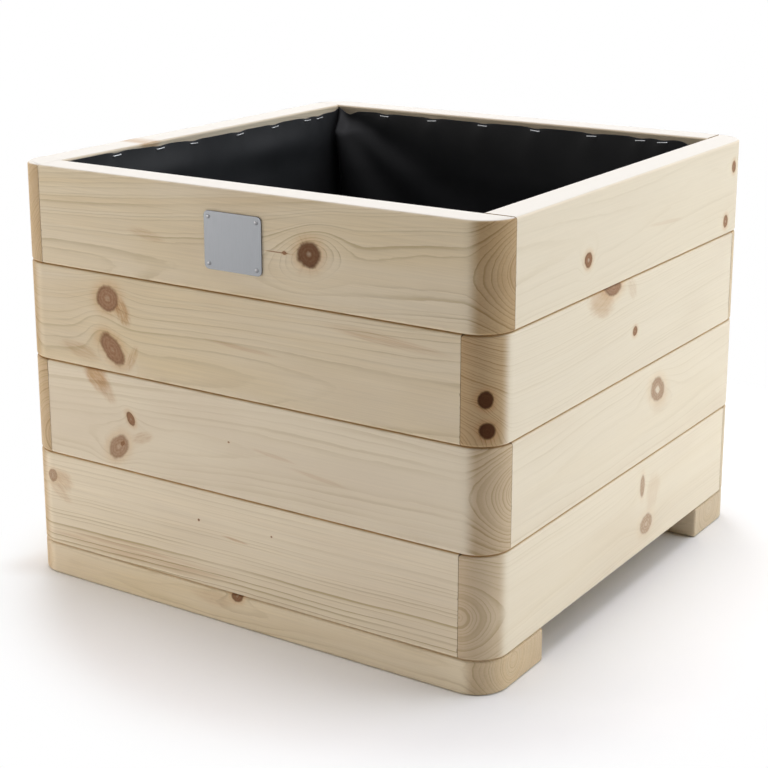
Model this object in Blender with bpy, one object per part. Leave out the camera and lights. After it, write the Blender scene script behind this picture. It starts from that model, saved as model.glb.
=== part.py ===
"""Square garden planter of planed softwood.

Four courses of boards stand on two runners. In each course every board runs through at one
corner and butts against its neighbour at the other, and the next course turns the other way,
so the corners lock like the fingers of a box joint. Blind dowels pin each corner from course
to course. A slatted floor lies on the runners, and a film liner hangs inside, gathered in
folds at the corners. X runs along the front, Y to the back, Z up from the ground.
"""
import math

import bmesh
import bpy

# Box, in metres
box_width = 0.500
box_depth = 0.500
course_count = 4
corner_radius = 0.030

# Boards
board_thickness = 0.030
board_width = 0.090
board_arris = 0.0035
seam_gap = 0.0003

# Runners under the box
runner_width = 0.090
runner_thickness = 0.030

# Blind dowels between the courses
dowel_diameter = 0.008
dowel_length = 0.050
dowel_chamfer = 0.001
dowel_inset_share = 0.4
dowel_clearance = 0.0003
dowel_end_gap = 0.001

# Floor
slat_width = 0.095
slat_thickness = 0.020
slat_least_gap = 0.010
slat_end_clearance = 0.001
slat_arris = 0.002

# Film liner
liner_thickness = 0.001
liner_clearance = 0.0005
liner_below_rim = 0.008
liner_foot_radius = 0.012
fold_slopes = (0.40, 1.25)
fold_heights = (0.022, 0.010)
fold_spreads = (0.22, 0.40)
fold_neck = 0.012
fold_rise = 0.060

# Plate on the front
plate_width = 0.060
plate_height = 0.050
plate_thickness = 0.001
plate_corner_radius = 0.0045
plate_hole_diameter = 0.0022
plate_hole_inset = 0.005
plate_gap = 0.0003

# Facets
corner_segments = 10
arris_segments = 3
dowel_sides = 16
hole_sides = 12
plate_corner_segments = 5
liner_columns = 13
liner_rows = 8
liner_foot_rows = 2
cutter_overshoot = 0.002

# Worked out from the sizes above
quarter_turn = math.pi / 2
side_names = ("front", "right", "back", "left")
corner_names = ("front_right", "back_right", "back_left", "front_left")
corner_signs = ((1, -1), (1, 1), (-1, 1), (-1, -1))
outer_radius = min(corner_radius, board_thickness)
course_pitch = board_width + seam_gap
first_course = runner_thickness + seam_gap
box_height = first_course + course_count * course_pitch - seam_gap
inner_width = box_width - 2 * board_thickness
inner_depth = box_depth - 2 * board_thickness
slat_base = runner_thickness + seam_gap
liner_top = box_height - liner_below_rim
liner_foot = slat_base + slat_thickness + liner_clearance
liner_height = liner_top - liner_foot


def clear_scene():
    for thing in list(bpy.data.objects):
        bpy.data.objects.remove(thing, do_unlink=True)


def make_material(name, colour, roughness, metallic=0.0):
    material = bpy.data.materials.new(name)
    material.use_nodes = True
    shader = material.node_tree.nodes["Principled BSDF"]
    shader.inputs["Base Color"].default_value = (*colour, 1.0)
    shader.inputs["Roughness"].default_value = roughness
    shader.inputs["Metallic"].default_value = metallic
    material.diffuse_color = (*colour, 1.0)
    return material


def add_object(name, solid, parent, material=None):
    """Turn a bmesh into a named object under the planter's empty."""
    bmesh.ops.recalc_face_normals(solid, faces=solid.faces)
    mesh = bpy.data.meshes.new(name)
    solid.to_mesh(mesh)
    solid.free()
    thing = bpy.data.objects.new(name, mesh)
    bpy.context.scene.collection.objects.link(thing)
    thing.parent = parent
    if material:
        mesh.materials.append(material)
    return thing


def arc(centre, radius, start, end, segments):
    """Points on an arc, both ends included."""
    points = []
    for step in range(segments + 1):
        angle = start + (end - start) * step / segments
        points.append((centre[0] + radius * math.cos(angle), centre[1] + radius * math.sin(angle)))
    return points


def prism(outline, height):
    """Extrude a plan outline upwards from z = 0."""
    solid = bmesh.new()
    base = solid.faces.new([solid.verts.new((x, y, 0.0)) for x, y in outline])
    raised = bmesh.ops.extrude_face_region(solid, geom=[base])
    top = [item for item in raised["geom"] if isinstance(item, bmesh.types.BMVert)]
    bmesh.ops.translate(solid, verts=top, vec=(0.0, 0.0, height))
    bmesh.ops.recalc_face_normals(solid, faces=solid.faces)
    return solid


def level_edges(solid):
    """The edges that run round the top and the bottom of a prism."""
    return [edge for edge in solid.edges if math.isclose(edge.verts[0].co.z, edge.verts[1].co.z)]


def round_over(solid, edges, radius):
    bmesh.ops.bevel(
        solid,
        geom=edges,
        offset=radius,
        offset_type="OFFSET",
        segments=arris_segments,
        profile=0.5,
        affect="EDGES",
    )


def rod(diameter, length, sides):
    """A plain round rod, standing centred on the origin."""
    solid = bmesh.new()
    bmesh.ops.create_cone(
        solid,
        cap_ends=True,
        segments=sides,
        radius1=diameter / 2,
        radius2=diameter / 2,
        depth=length,
    )
    return solid


def cut_with(thing, cutter):
    """Cut one object out of another, and keep the cutter out of the model."""
    cutter.hide_render = True
    cutter.display_type = "WIRE"
    cut = thing.modifiers.new("bore", "BOOLEAN")
    cut.operation = "DIFFERENCE"
    cut.solver = "EXACT"
    cut.object = cutter


def course_base(course):
    return first_course + course * course_pitch


def turns_forward(course):
    """The top course runs through at each side's far corner, and the courses below alternate."""
    return (course_count - 1 - course) % 2 == 0


def through_corner(side, course):
    return side if turns_forward(course) else (side - 1) % len(side_names)


def board_outline(half_length, face, forward):
    """Plan of a front board: butt end on the left, rounded through end on the right."""
    butt = -half_length + board_thickness + seam_gap
    inner = -face + board_thickness
    bend = (half_length - outer_radius, -face + outer_radius)
    outline = [(butt, -face)]
    outline += arc(bend, outer_radius, -quarter_turn, 0.0, corner_segments)
    if not math.isclose(outer_radius, board_thickness):
        outline.append((half_length, inner))
    outline.append((butt, inner))
    if forward:
        return butt, outline
    return -butt, [(-x, y) for x, y in reversed(outline)]


def make_board(side, course, parent, material):
    """One wall board. Its long edges are rounded over and its butt end is left square."""
    lengths = (box_width / 2, box_depth / 2)
    half_length = lengths[side % 2]
    face = lengths[(side + 1) % 2]
    butt, outline = board_outline(half_length, face, turns_forward(course))
    solid = prism(outline, board_width)
    long_edges = []
    for edge in level_edges(solid):
        at_butt_end = all(math.isclose(vert.co.x, butt, abs_tol=seam_gap / 2) for vert in edge.verts)
        if not at_butt_end:
            long_edges.append(edge)
    round_over(solid, long_edges, board_arris)
    board = add_object(f"{side_names[side]}_board_{course + 1}", solid, parent, material)
    board.location.z = course_base(course)
    board.rotation_euler.z = side * quarter_turn
    return board


def dowel_place(corner, seam):
    """Centre of the dowel in a corner, at the seam under the course of that number."""
    inset = board_thickness * (1.0 - dowel_inset_share)
    across = box_width / 2 - inset
    along = box_depth / 2 - inset
    sign_x, sign_y = corner_signs[corner]
    return (sign_x * across, sign_y * along, course_base(seam) - seam_gap / 2)


def make_dowel(corner, seam, parent, material):
    """A blind dowel, and the cutter for the bore that holds it."""
    solid = rod(dowel_diameter, dowel_length, dowel_sides)
    bmesh.ops.bevel(
        solid,
        geom=level_edges(solid),
        offset=dowel_chamfer,
        segments=1,
        affect="EDGES",
    )
    dowel = add_object(f"dowel_{corner_names[corner]}_{seam}", solid, parent, material)
    dowel.location = dowel_place(corner, seam)
    bore_size = dowel_diameter + 2 * dowel_clearance
    bore_depth = dowel_length + 2 * dowel_end_gap
    bore = add_object(f"bore_{corner_names[corner]}_{seam}", rod(bore_size, bore_depth, dowel_sides), parent)
    bore.location = dowel.location
    return bore


def make_walls(parent, board_material, dowel_material):
    boards = {}
    for course in range(course_count):
        for side in range(len(side_names)):
            board = make_board(side, course, parent, board_material)
            boards[through_corner(side, course), course] = board
    for seam in range(1, course_count):
        for corner in range(len(corner_names)):
            bore = make_dowel(corner, seam, parent, dowel_material)
            cut_with(boards[corner, seam - 1], bore)
            cut_with(boards[corner, seam], bore)


def make_runner(name, turn, parent, material):
    """A board laid flat under the box, rounded at the two outer corners."""
    half_length = box_width / 2
    face = box_depth / 2
    inner = -face + runner_width
    bend_x = half_length - outer_radius
    bend_y = -face + outer_radius
    outline = arc((-bend_x, bend_y), outer_radius, -2 * quarter_turn, -quarter_turn, corner_segments)
    outline += arc((bend_x, bend_y), outer_radius, -quarter_turn, 0.0, corner_segments)
    outline += [(half_length, inner), (-half_length, inner)]
    solid = prism(outline, runner_thickness)
    edges = level_edges(solid)
    for edge in solid.edges:
        upright = edge not in edges
        if upright and math.isclose(edge.verts[0].co.y, inner, abs_tol=seam_gap):
            edges.append(edge)
    round_over(solid, edges, board_arris)
    runner = add_object(name, solid, parent, material)
    runner.rotation_euler.z = turn
    return runner


def make_floor(parent, material):
    """Slats from front to back on the runners' inner ledges, with even gaps for drainage."""
    count = int((inner_width - slat_least_gap) / (slat_width + slat_least_gap))
    gap = (inner_width - count * slat_width) / (count + 1)
    half_length = inner_depth / 2 - slat_end_clearance
    half_width = slat_width / 2
    outline = [
        (-half_width, -half_length),
        (half_width, -half_length),
        (half_width, half_length),
        (-half_width, half_length),
    ]
    for number in range(count):
        solid = prism(outline, slat_thickness)
        round_over(solid, level_edges(solid), slat_arris)
        slat = add_object(f"floor_slat_{number + 1}", solid, parent, material)
        slat.location.x = -inner_width / 2 + gap + half_width + number * (slat_width + gap)
        slat.location.z = slat_base


def fold_height(from_corner, drop):
    """How far the film stands off the wall, by the distance from the corner and below its edge."""
    gather = min(drop / fold_rise, 1.0) * (1.0 - (drop / liner_height) ** 2)
    gather *= min(from_corner / fold_neck, 1.0)
    height = 0.0
    for slope, crest, spread in zip(fold_slopes, fold_heights, fold_spreads):
        away = (from_corner - slope * drop) / (fold_neck + spread * drop)
        height += crest * gather * math.exp(-away * away)
    return height


def liner_profile():
    """Drops below the film's edge, each with the set-in and the rise of its rounded foot."""
    straight = liner_height - liner_foot_radius
    rows = [(straight * row / liner_rows, 0.0) for row in range(liner_rows + 1)]
    for row in range(1, liner_foot_rows + 1):
        angle = quarter_turn * row / liner_foot_rows
        drop = straight + liner_foot_radius * math.sin(angle)
        rows.append((drop, liner_foot_radius * (1.0 - math.cos(angle))))
    return rows


def liner_ring(drop, set_in):
    """One level of the film, once round the box. The gathers lie on the front and the back."""
    half_sizes = (inner_width / 2 - liner_clearance, inner_depth / 2 - liner_clearance)
    ring = []
    for side in range(len(side_names)):
        half_length = half_sizes[side % 2]
        face = half_sizes[(side + 1) % 2] - set_in
        turn = side * quarter_turn
        for column in range(liner_columns):
            along = -half_length * math.cos(math.pi * column / liner_columns)
            stand_off = 0.0
            if side_names[side] in ("front", "back"):
                stand_off = fold_height(half_length - abs(along), drop)
            x = along * (half_length - set_in) / half_length
            y = stand_off - face
            ring.append(
                (
                    x * math.cos(turn) - y * math.sin(turn),
                    x * math.sin(turn) + y * math.cos(turn),
                    liner_top - drop,
                )
            )
    return ring


def make_liner(parent, material):
    """An open bag of film: rings of points joined by quads, closed by its floor."""
    solid = bmesh.new()
    rings = [[solid.verts.new(point) for point in liner_ring(*row)] for row in liner_profile()]
    for upper, lower in zip(rings, rings[1:]):
        for index in range(len(upper)):
            after = (index + 1) % len(upper)
            solid.faces.new((upper[index], lower[index], lower[after], upper[after]))
    solid.faces.new(list(reversed(rings[-1])))
    mesh_liner = add_object("liner", solid, parent, material)
    film = mesh_liner.modifiers.new("film", "SOLIDIFY")
    film.thickness = liner_thickness
    film.offset = -1.0
    return mesh_liner


def make_plate(parent, material):
    """A thin bare plate with rounded corners, nailed at its four corners to the top front board."""
    bend_x = plate_width / 2 - plate_corner_radius
    bend_y = plate_height / 2 - plate_corner_radius
    outline = []
    for number, (sign_x, sign_y) in enumerate(corner_signs):
        start = (number - 1) * quarter_turn
        centre = (sign_x * bend_x, sign_y * bend_y)
        outline += arc(centre, plate_corner_radius, start, start + quarter_turn, plate_corner_segments)
    plate = add_object("front_plate", prism(outline, plate_thickness), parent, material)
    plate.rotation_euler.x = quarter_turn
    plate.location.y = -box_depth / 2 - plate_gap
    plate.location.z = course_base(course_count - 1) + board_width / 2
    for number, (sign_x, sign_y) in enumerate(corner_signs):
        punch = rod(plate_hole_diameter, plate_thickness + 2 * cutter_overshoot, hole_sides)
        hole = add_object(f"plate_hole_{number + 1}", punch, plate)
        hole.location.x = sign_x * (plate_width / 2 - plate_hole_inset)
        hole.location.y = sign_y * (plate_height / 2 - plate_hole_inset)
        hole.location.z = plate_thickness / 2
        cut_with(plate, hole)


def main():
    clear_scene()
    planter = bpy.data.objects.new("planter", None)
    bpy.context.scene.collection.objects.link(planter)
    spruce = make_material("planed_spruce", (0.72, 0.57, 0.38), 0.55)
    beech = make_material("beech_dowel", (0.60, 0.42, 0.25), 0.60)
    film = make_material("black_film", (0.012, 0.012, 0.014), 0.38)
    metal = make_material("matt_aluminium", (0.56, 0.58, 0.62), 0.35, 1.0)
    make_walls(planter, spruce, beech)
    make_runner("front_runner", 0.0, planter, spruce)
    make_runner("back_runner", 2 * quarter_turn, planter, spruce)
    make_floor(planter, spruce)
    make_liner(planter, film)
    make_plate(planter, metal)
    bpy.context.view_layer.update()


main()
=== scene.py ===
"""Looks of the square softwood planter: planed spruce boards, stapled black film and a nailed metal plate.

Every board shows one solid grain: growth rings round its own pith, pushed aside by its knots.
X runs along the front, Y to the back, Z up from the ground, in metres.
"""
import math
import random
from collections import namedtuple

import bmesh
import bpy
from mathutils import Matrix, Vector, noise


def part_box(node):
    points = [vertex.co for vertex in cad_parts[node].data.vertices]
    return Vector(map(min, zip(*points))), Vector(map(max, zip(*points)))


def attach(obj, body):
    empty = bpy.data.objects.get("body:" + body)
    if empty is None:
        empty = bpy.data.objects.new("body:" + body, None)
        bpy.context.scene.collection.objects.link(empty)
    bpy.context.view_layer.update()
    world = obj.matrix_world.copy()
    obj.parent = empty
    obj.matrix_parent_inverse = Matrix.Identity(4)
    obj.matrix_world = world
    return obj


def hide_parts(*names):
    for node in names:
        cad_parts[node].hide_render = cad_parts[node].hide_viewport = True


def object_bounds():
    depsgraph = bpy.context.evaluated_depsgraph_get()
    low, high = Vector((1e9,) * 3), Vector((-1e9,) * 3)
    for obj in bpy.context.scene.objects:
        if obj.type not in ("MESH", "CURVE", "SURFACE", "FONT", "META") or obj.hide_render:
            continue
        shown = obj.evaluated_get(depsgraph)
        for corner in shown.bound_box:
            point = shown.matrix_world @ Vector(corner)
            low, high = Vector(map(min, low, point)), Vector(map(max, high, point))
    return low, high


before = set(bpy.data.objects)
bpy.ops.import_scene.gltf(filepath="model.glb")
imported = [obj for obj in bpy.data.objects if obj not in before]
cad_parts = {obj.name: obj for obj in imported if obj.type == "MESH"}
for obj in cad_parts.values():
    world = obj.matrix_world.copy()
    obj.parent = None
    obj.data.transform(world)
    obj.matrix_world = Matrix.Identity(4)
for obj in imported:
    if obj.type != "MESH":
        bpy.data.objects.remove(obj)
cad_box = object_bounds()

mm = 0.001
quarter_turn = math.pi / 2
side_names = ("front", "right", "back", "left")
course_count = 4
slat_count = 4

# Sizes read from the frame
top_board_low, top_board_high = (Vector(corner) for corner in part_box("front_board_4"))
box_half = top_board_high.x
board_thickness = top_board_high.y - top_board_low.y
board_half = (top_board_high.z - top_board_low.z) / 2
inner_half = box_half - board_thickness
liner_low, liner_high = (Vector(corner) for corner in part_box("liner"))
plate_low, plate_high = (Vector(corner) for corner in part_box("front_plate"))

# Edges of the planed boards
board_arris = 2.6 * mm
slat_arris = 2.0 * mm
butt_arris = 0.2 * mm
corner_steps = 28
arris_steps = 5
butt_steps = 2
smooth_angle = math.radians(50)
same_place = 0.01 * mm

# Camera, fitted to the photo's edges
camera_place = (0.85248, -1.32221, 0.64716)
camera_pitch = 1.32469
camera_yaw = 0.58048
camera_lens = 79.05
camera_sensor = 36.0
camera_shift_down = -0.12

# A knot: its centre along the board and up from the middle, its half-length and half-height, in
# millimetres, how dark it is, its turn on the face in degrees, the slope of its branch along the board,
# how far it pushes the rings aside, in millimetres, and how pale its heart is
Knot = namedtuple(
    "Knot", "along height length width tone turn slant bulge heart", defaults=(0.5, 0, 0.1, 6.0, 0.3)
)

# A resin stain: its centre, half-length and half-height, in millimetres, its turn in degrees, how strong
# it is and how far it breaks up into strands
Stain = namedtuple("Stain", "along height length width turn strength strands", defaults=(0, 0.5, 0.5))

# The grain of a board: its pith, in from the outer face and up from the middle, and the ring width, in
# millimetres, how the pith wanders along the board, how strongly the late wood shows at its lower and its
# upper edge, how honey-coloured the board is, how dark its ends are, its knots and stains, and how pale it
# is beside the others, which rises course by course towards the ground as painted light
Grain = namedtuple("Grain", "pith ring lean contrast warmth ends knots stains pale", defaults=((), (), 1.0))

grains = {
    "front_board_4": Grain((42, -20), 3.4, (0.0, 0.09), (1.20, 1.30), 0.55, 0.73, (
        Knot(77, 0, 12.4, 11.4, 0.77, 25, 0.1, 20, 0.12),
        Knot(46, -2.2, 12, 0.45, 0.30, 0, 0.0, 0.3, 0),
        Knot(52.5, -2.0, 2.2, 1.5, 0.45, 0, 0.0, 1.0, 0),
    ), (
        Stain(-95, -4, 22, 5, -8, 0.3, 0.5),
    ), 0.96),
    "front_board_3": Grain((46, -30), 4.4, (0.01, 0.06), (0.90, 1.05), 0.6, 0.6, (
        Knot(-142.6, 22.8, 13.4, 12.2, 0.38, 30, 0.1, 8, 0.12),
        Knot(-139.5, -23.1, 17.0, 10.2, 0.38, -45, -0.1, 9, 0.08),
    ), (
        Stain(-126, 13, 15, 9, -60, 0.8, 0.6),
        Stain(-116, -28, 14, 5, 65, 0.5, 0.6),
        Stain(-178, -30, 26, 8, -12, 0.4, 0.5),
        Stain(4.5, 0.9, 40, 2.4, -3, 0.4, 0.5),
        Stain(150, 30, 60, 5, -4, 0.4, 0.6),
    ), 0.97),
    "front_board_2": Grain((33, -2), 3.2, (0.0, 0.02), (0.50, 0.60), 0.0, 0.54, (
        Knot(-120.4, 5.4, 6.6, 4.2, 0.42, -58, 0.1, 3, 0.1),
        Knot(-136.2, -23.5, 14.5, 9.6, 0.24, 46, 0.1, 6, 0.1),
        Knot(-131.5, -19.6, 2.6, 1.7, 0.55, 40, 0.0, 0.5, 0),
        Knot(-9.9, 4.7, 1.1, 0.8, 0.4, 0, 0.0, 0.3, 0),
    ), (
        Stain(-160, 39, 19, 12, -40, 0.85, 0.30),
        Stain(-148, 27, 15, 8, -45, 0.40, 0.50),
        Stain(-108, -10, 14, 6, 20, 0.4, 0.5),
        Stain(37, 1.4, 26, 2.0, -6, 0.3, 0.6),
        Stain(84, -9, 30, 2.4, -6, 0.3, 0.6),
    ), 1.03),
    "front_board_1": Grain((22, -112), 5.2, (0.0, 0.02), (2.4, 0.50), 0.1, 0.6, (
        Knot(-220.5, 22.7, 6, 6.5, 0.16, 0, 0.1, 3, 0.12),
        Knot(-45.5, 16.2, 1.1, 1.1, 0.7, 0, 0.0, 0.4, 0),
        Knot(34.3, 18.2, 0.9, 0.9, 0.4, 0, 0.0, 0.3, 0),
    ), (
        Stain(-4.8, 6.2, 16, 1.4, -4, 0.6, 0.5),
        Stain(-207, 20, 13, 11, -35, 0.45, 0.5),
        Stain(-212, 8, 18, 6, -30, 0.3, 0.6),
        Stain(-120, -32, 120, 10, 0, 0.4, 0.8),
    ), 1.08),
    "front_runner": Grain((40, 8), 2.4, (0.0, 0.01), (1.3, 1.3), 0.45, 0.46, (
        Knot(-4.8, 14, 6.5, 5.5, 0.6, 0, 0.1, 3, 0.1),
    ), (
        Stain(-30, 6, 26, 8, 0, 0.25, 0.5),
    ), 1.11),
    "right_board_4": Grain((52, 10), 4.4, (0.01, 0.02), (0.40, 0.40), 0.1, 0.6, (
        Knot(-95.6, -12.8, 6.6, 7.0, 0.50, 70, 0.1, 9, 0.16),
        Knot(215.2, 20.4, 5.0, 6.2, 0.42, 0, 0.3, 3, 0.1),
        Knot(200.3, -31.5, 5.5, 6.4, 0.40, 0, 0.2, 3, 0.14),
    ), (
        Stain(59, -7.5, 40, 2.2, -4, 0.2, 0.6),
    ), 1.01),
    "right_board_3": Grain((52, -55), 2.5, (0.0, 0.02), (0.40, 0.40), 0.05, 0.77, (
        Knot(-257.7, -6.0, 10.2, 7.3, 1.0, 0, 1.26, 5, 0.0),
        Knot(-253.0, -31.2, 10.2, 7.3, 1.0, 0, 1.10, 5, 0.0),
        Knot(-46.0, 45.5, 17, 9, 0.34, -8, 0.2, 9, 0.05),
        Knot(0.9, -5.4, 4.6, 4.6, 0.42, 0, 0.1, 3, 0.1),
    ), (
        Stain(-68, 35, 26, 14, -14, 0.55, 0.12),
        Stain(-8, 36, 14, 8, -50, 0.25, 0.6),
    ), 1.02),
    "right_board_2": Grain((50, -5), 4.4, (0.0, 0.02), (0.42, 0.42), 0.1, 0.6, (
        Knot(54.8, 16.9, 16, 11.5, 0.16, -20, 0.1, 9, 0.36),
    ), (
        Stain(66, 2, 22, 12, 10, 0.15, 0.3),
    ), 1.04),
    "right_board_1": Grain((30, -2), 3.6, (0.0, 0.02), (0.40, 0.38), 0.1, 0.44, (
        Knot(30.0, 20.3, 5, 11, 0.06, 0, 0.1, 4, 0.0),
        Knot(41.3, -20.2, 13.5, 10, 0.0, 0, 0.1, 5, 0.18),
    ), (
        Stain(54, 8, 20, 16, 70, 0.2, 0.2),
    ), 1.06),
    "left_board_4": Grain((75, -60), 2.4, (0.0, 0.02), (0.8, 0.8), 0.4, 0.6, (
        Knot(60, -8, 12, 9, 0.5, 20, 0.1, 6, 0.08),
        Knot(-120, 14, 9, 8, 0.4, 0, 0.1, 5, 0.1),
    ), (
        Stain(98, 43, 17, 5, 0, 0.7, 0.6),
    )),
    "left_board_2": Grain((40, -20), 3.4, (0.0, -0.02), (0.8, 0.8), 0.4, 0.6, (
        Knot(-40, 10, 14, 10, 0.45, -30, 0.1, 6, 0.08),
        Knot(130, -16, 8, 7, 0.6, 0, 0.1, 4, 0.1),
    )),
}

# Colours of the wood, as reflectance. The shades multiply the wood's own colour
early_wood = (0.800, 0.705, 0.550)
late_wood = (0.530, 0.420, 0.250)
honey_wood = (0.735, 0.590, 0.375)
yellow_shade = (0.985, 0.950, 0.850)
grey_shade = (0.950, 0.935, 0.930)
end_shade = (0.55, 0.385, 0.20)
# Painted shade in the butt joints between boards
joint_painted_shade = (0.30, 0.22, 0.15)
# Painted shade, warm and dark, deep in the grooves where the arrises of two courses meet
groove_painted_shade = (0.80, 0.64, 0.43)
# Painted highlight: the near-white laid on the upward faces of the top boards
rim_painted_highlight = (0.765, 0.735, 0.665)
stain_shade = (0.66, 0.44, 0.26)
pale_knot = (0.60, 0.46, 0.33)
brown_knot = (0.345, 0.19, 0.103)
dark_knot = (0.080, 0.028, 0.006)
rim_shade = (0.50, 0.41, 0.34)
halo_shade = (0.92, 0.81, 0.70)
strand_shade = (0.70, 0.55, 0.43)
pale_beech = (0.66, 0.48, 0.30)
dark_beech = (0.50, 0.33, 0.18)
wood_gloss = 0.12

# How unevenly the rings lie: the pith's drift, and a slow and a quick wave in each ring
pith_drift = (0.0, 22.0 * mm, 30.0 * mm)
ring_wave = 1.8 * mm
ring_tremble = 0.6 * mm
year_spread = 1.6
end_ring_strength = 1.5
fibre_dip = 0.07
fibre_lift = 0.05
fibre_relief = 0.12 * mm
knot_ring_count = 24.0
# Least and most width of the painted shade along a butt joint
joint_shade_least = 0.3 * mm
joint_shade_most = 1.8 * mm


def feed(tree, socket, value):
    """Wire a socket to another one, or give it a fixed value."""
    if isinstance(value, bpy.types.NodeSocket):
        tree.links.new(value, socket)
    else:
        socket.default_value = value


def node(tree, kind, values=None, **settings):
    """Add a node with its settings, and set or wire its inputs."""
    made = tree.nodes.new(kind)
    for name, value in settings.items():
        setattr(made, name, value)
    for name, value in (values or {}).items():
        feed(tree, made.inputs[name], value)
    return made


def maths(tree, operation, *values):
    made = node(tree, "ShaderNodeMath", operation=operation)
    for socket, value in zip(made.inputs, values):
        feed(tree, socket, value)
    return made.outputs[0]


def times(tree, first, second):
    return maths(tree, "MULTIPLY", first, second)


def vector_maths(tree, operation, *values):
    made = node(tree, "ShaderNodeVectorMath", operation=operation)
    for socket, value in zip(made.inputs, values):
        feed(tree, socket, value)
    name = "Value" if operation in ("LENGTH", "DOT_PRODUCT") else "Vector"
    return made.outputs[name]


def parts_of(tree, vector):
    """The X, Y and Z of a vector."""
    return node(tree, "ShaderNodeSeparateXYZ", {"Vector": vector}).outputs


def on_piece(tree):
    """A point's place on its piece, in metres."""
    return node(tree, "ShaderNodeTexCoord").outputs["Object"]


def ramp(tree, value, start, end, low=0.0, high=1.0):
    """A soft step from low to high while the value goes from start to end."""
    inputs = {"Value": value, "From Min": start, "From Max": end, "To Min": low, "To Max": high}
    return node(tree, "ShaderNodeMapRange", inputs, interpolation_type="SMOOTHSTEP").outputs["Result"]


def blend(tree, factor, first, second, kind="MIX"):
    """Mix two colours."""
    made = node(tree, "ShaderNodeMix", data_type="RGBA", blend_type=kind)
    feed(tree, made.inputs["Factor"], factor)
    colours = [socket for socket in made.inputs if socket.type == "RGBA"]
    for socket, value in zip(colours, (first, second)):
        feed(tree, socket, value if isinstance(value, bpy.types.NodeSocket) else (*value, 1.0))
    return next(socket for socket in made.outputs if socket.type == "RGBA")


def shade(tree, factor, colour, by):
    """Multiply a colour by a shade, as far as the factor says."""
    return blend(tree, factor, colour, by, "MULTIPLY")


def texture(tree, place, stretch, seed, detail=2.0, roughness=0.5, output="Fac"):
    """Soft noise, stretched along the board."""
    scaled = vector_maths(tree, "MULTIPLY", place, stretch)
    inputs = {"Vector": scaled, "W": seed, "Scale": 1.0, "Detail": detail, "Roughness": roughness}
    return node(tree, "ShaderNodeTexNoise", inputs, noise_dimensions="4D").outputs[output]


def swing(tree, place, stretch, seed, detail=2.0, roughness=0.5):
    """Soft noise that swings to either side of 0."""
    return maths(tree, "SUBTRACT", texture(tree, place, stretch, seed, detail, roughness), 0.5)


def line_noise(tree, value):
    """Soft noise along a single number."""
    inputs = {"W": value, "Scale": 1.0, "Detail": 1.0}
    return node(tree, "ShaderNodeTexNoise", inputs, noise_dimensions="1D").outputs["Fac"]


def add_bump(tree, shader, height, strength, depth):
    """Raise a surface's fine relief in its shading."""
    bump = node(tree, "ShaderNodeBump", {"Height": height, "Strength": strength, "Distance": depth})
    feed(tree, shader.inputs["Normal"], bump.outputs["Normal"])


def new_group(name, inputs, outputs, kind="Shader"):
    """An empty group with named sockets."""
    tree = bpy.data.node_groups.new(name, f"{kind}NodeTree")
    for side, sockets in (("INPUT", inputs), ("OUTPUT", outputs)):
        for socket_name, socket_kind in sockets:
            tree.interface.new_socket(socket_name, in_out=side, socket_type=f"NodeSocket{socket_kind}")
    start = tree.nodes.new("NodeGroupInput").outputs
    end = tree.nodes.new("NodeGroupOutput").inputs
    return tree, start, end


def group_node(tree, group, values):
    made = node(tree, "ShaderNodeGroup", node_tree=group)
    for name, value in values.items():
        feed(tree, made.inputs[name], value)
    return made.outputs


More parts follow.
